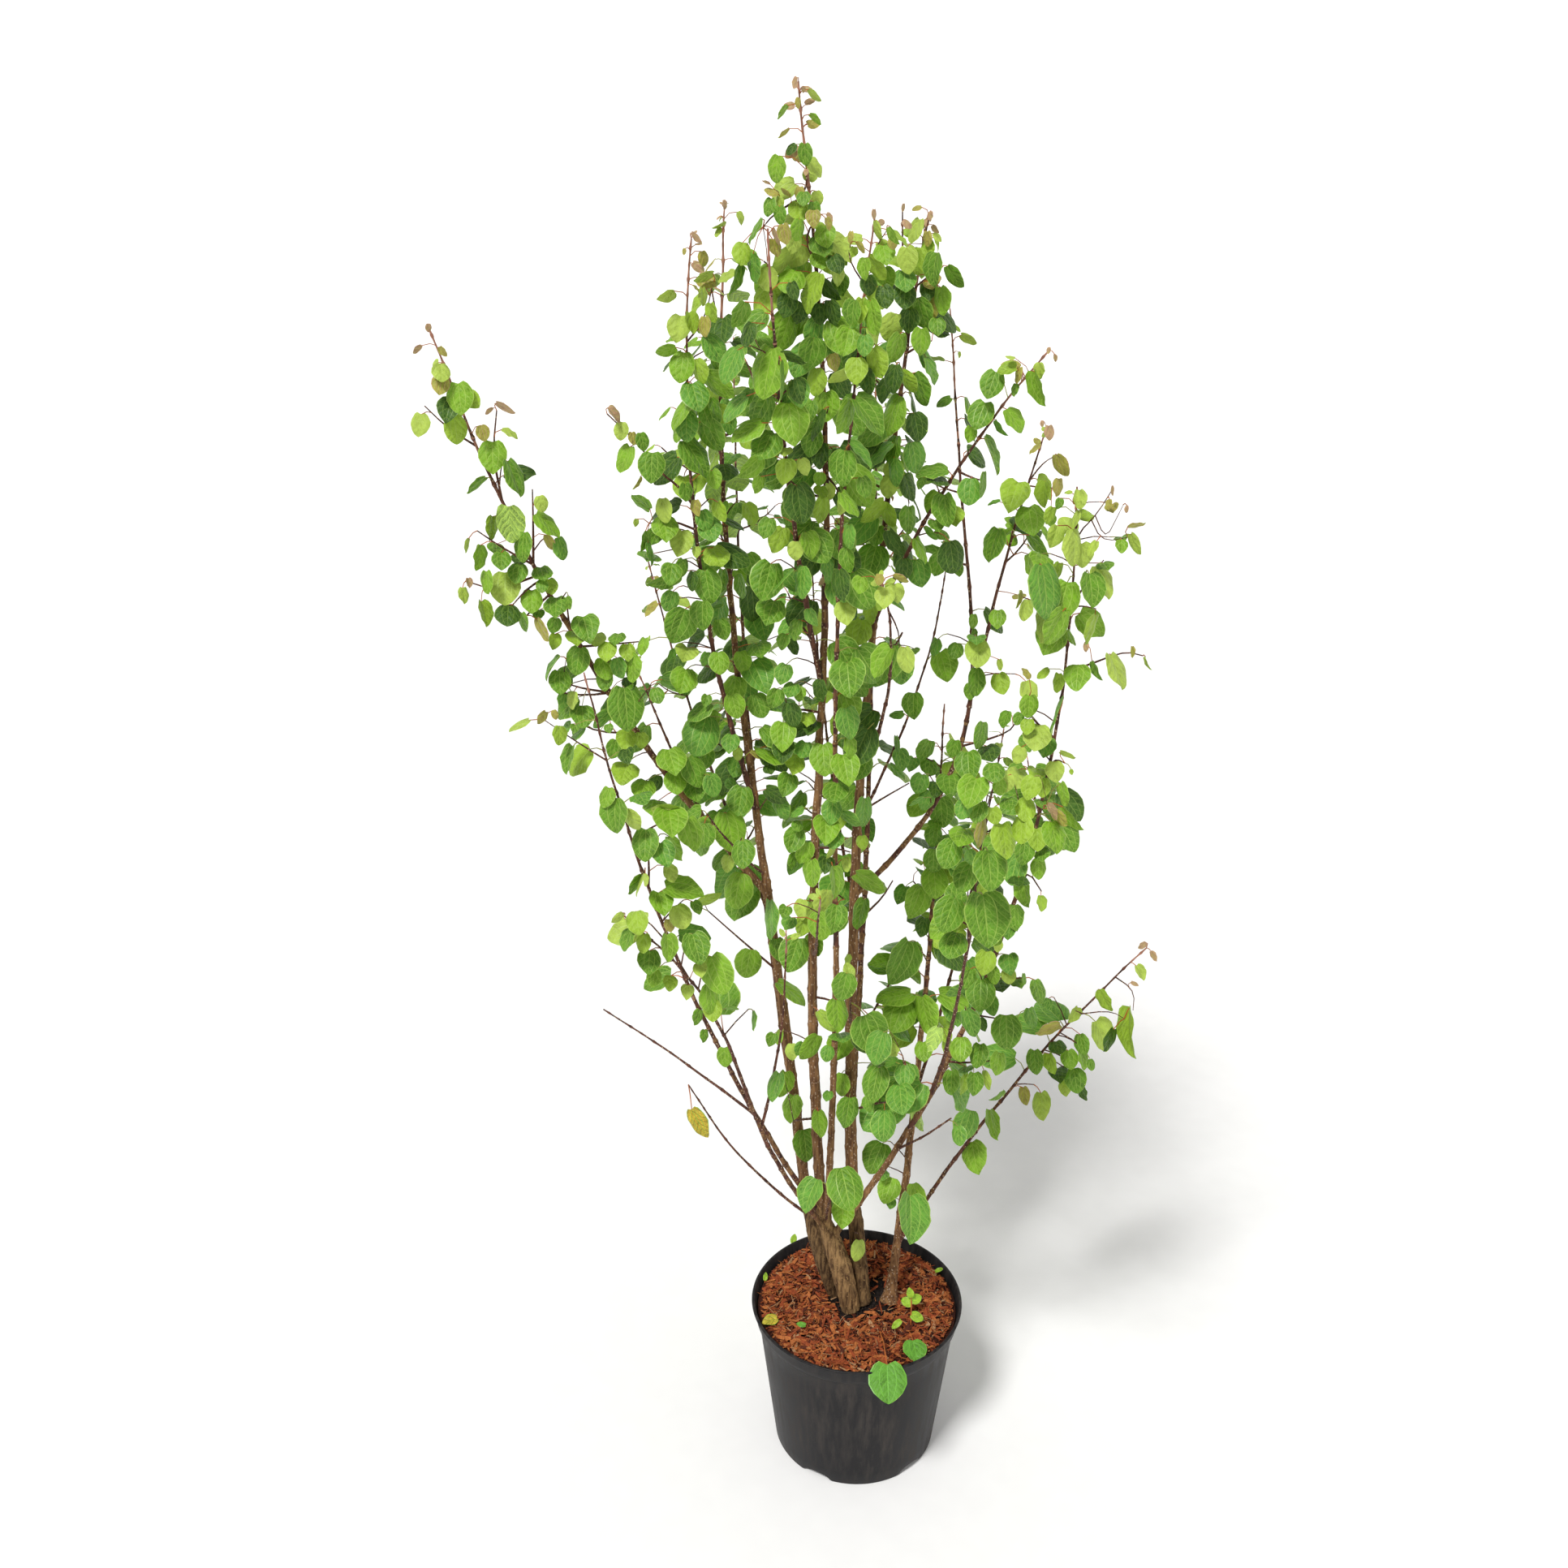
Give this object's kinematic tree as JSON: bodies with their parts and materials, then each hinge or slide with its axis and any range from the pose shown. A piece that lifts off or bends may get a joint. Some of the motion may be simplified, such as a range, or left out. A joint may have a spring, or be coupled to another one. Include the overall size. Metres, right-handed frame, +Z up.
{
  "type": "potted katsura tree",
  "caption": "Young many-stemmed katsura tree with rounded opposite leaves on long whips, standing in a plain black nursery pot.",
  "frame": {"origin": "centre of the pot's flat underside", "axes": "+Z up along the height of the plant, -Y towards the viewer of the picture, +X to the viewer's right"},
  "size_m": [0.8539, 0.7179, 1.7187],
  "materials": {
    "pot": "satin",
    "mulch": "rough",
    "bark": "rough",
    "foliage": "matte"
  },
  "bodies": {
    "root": {"arm_spur_low_leaves": "foliage", "arm_spur_right_leaves": "foliage", "back_left_shoot_leaves": "foliage", "back_left_stem": "bark", "back_left_stem_leaves": "foliage", "back_low_shoot_leaves": "foliage", "back_right_shoot_leaves": "foliage", "back_right_stem": "bark", "back_right_stem_leaves": "foliage", "back_spur_low_leaves": "foliage", "bare_left_twig": "bark", "bare_low_twig": "bark", "crossing_stem_leaves": "foliage", "curved_shoot_leaves": "foliage", "far_left_arm": "bark", "far_left_arm_leaves": "foliage", "far_left_side_leaves": "foliage", "foot_spur_front_leaves": "foliage", "foot_spur_left_leaves": "foliage", "foot_spur_right_leaves": "foliage", "foot_spur_rim_leaves": "foliage", "front_high_shoot_leaves": "foliage", "front_low_shoot_leaves": "foliage", "front_middle_shoot_leaves": "foliage", "front_stem": "bark", "front_stem_leaves": "foliage", "leader_stem": "bark", "leader_stem_leaves": "foliage", "left_arm": "bark", "left_arm_leaves": "foliage", "left_fork_leaves": "foliage", "left_stem": "bark", "left_stem_leaves": "foliage", "low_left_arm": "bark", "low_left_arm_leaves": "foliage", "low_left_side_leaves": "foliage", "low_right_arm": "bark", "low_right_arm_leaves": "foliage", "middle_stem": "bark", "middle_stem_leaves": "foliage", "pot": "pot", "right_arm": "bark", "right_arm_leaves": "foliage", "right_cluster_leaves": "foliage", "right_fork_leaves": "foliage", "right_stem": "bark", "right_stem_leaves": "foliage", "right_whip": "bark", "right_whip_leaves": "foliage", "rim_sucker_leaves": "foliage", "soil": "mulch", "stem_spur_high_leaves": "foliage", "stem_spur_left_leaves": "foliage", "stem_spur_low_leaves": "foliage", "stem_spur_right_leaves": "foliage", "thin_twig": "bark", "trunk": "bark", "upper_right_arm_leaves": "foliage"}
  },
  "joints": []
}
